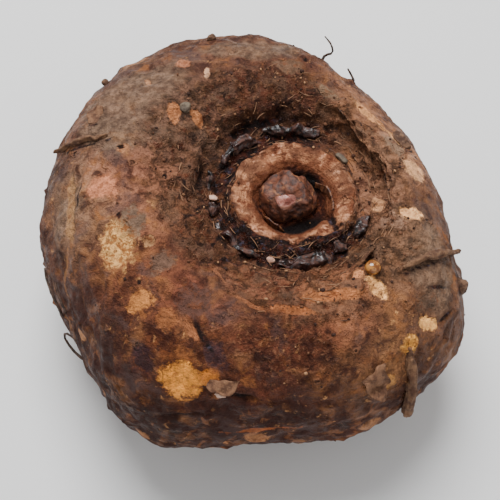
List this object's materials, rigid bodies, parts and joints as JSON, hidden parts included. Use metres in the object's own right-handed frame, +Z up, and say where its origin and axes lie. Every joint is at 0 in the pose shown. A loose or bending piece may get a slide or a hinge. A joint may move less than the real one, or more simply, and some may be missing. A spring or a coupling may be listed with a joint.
{
  "type": "elephant foot yam",
  "caption": "Squat brown yam corm with a wide crater on top holding a tan ring scar, black sheath remains and a bud; root stumps, hair roots and loose skin on its flanks",
  "frame": {"origin": "middle of the bounding box's footprint, in the resting plane under the flattened base", "axes": "+Z up out of the crater, the shortest extent; seen from the front, -Y is near and +X is right"},
  "size_m": [0.2272, 0.2366, 0.1279],
  "materials": {
    "corm_skin": "dry corky skin, earthy brown with tan, cream and grey patches",
    "bud_skin": "reddish brown bud skin, slightly glossy, pink at the tip",
    "bud_scale": "thin translucent brown scale leaf",
    "sheath": "blackened, leathery and glossy sheath remains",
    "root_skin": "shrivelled matte root skin",
    "hair_root": "dry dark hair root",
    "cormel_skin": "matte grey-brown knob skin",
    "stone": "dull grey stone",
    "flesh": "pale dried flesh",
    "sap": "hardened amber sap, glossy",
    "loose_skin": "papery curled skin, matte"
  },
  "bodies": {
    "root": {"corm": "corm_skin", "apical_bud": "bud_skin", "bud_scale_left": "bud_scale", "bud_scale_right": "bud_scale", "sheath_remnant_bottom": "sheath", "sheath_remnant_lower_right": "sheath", "sheath_remnant_lower_left": "sheath", "sheath_remnant_left_lower": "sheath", "sheath_remnant_left_upper": "sheath", "sheath_remnant_upper_left": "sheath", "sheath_remnant_top": "sheath", "sheath_remnant_right": "sheath", "root_left": "root_skin", "root_right": "root_skin", "root_lower": "root_skin", "hair_root_top": "hair_root", "hair_root_top_small": "hair_root", "hair_root_left_long": "hair_root", "hair_root_left_short": "hair_root", "hair_root_loop": "hair_root", "cormel_right": "cormel_skin", "cormel_upper_right": "cormel_skin", "root_nub_upper_left": "cormel_skin", "root_nub_top": "cormel_skin", "stone_grey": "stone", "stone_chip": "stone", "flesh_chip_left": "flesh", "flesh_chip_lower": "flesh", "flesh_chip_front": "flesh", "sap_bead": "sap", "skin_curl_right": "loose_skin", "skin_curl_lower": "loose_skin", "skin_curl_front": "loose_skin", "skin_curl_upper_left": "loose_skin"}
  },
  "joints": []
}
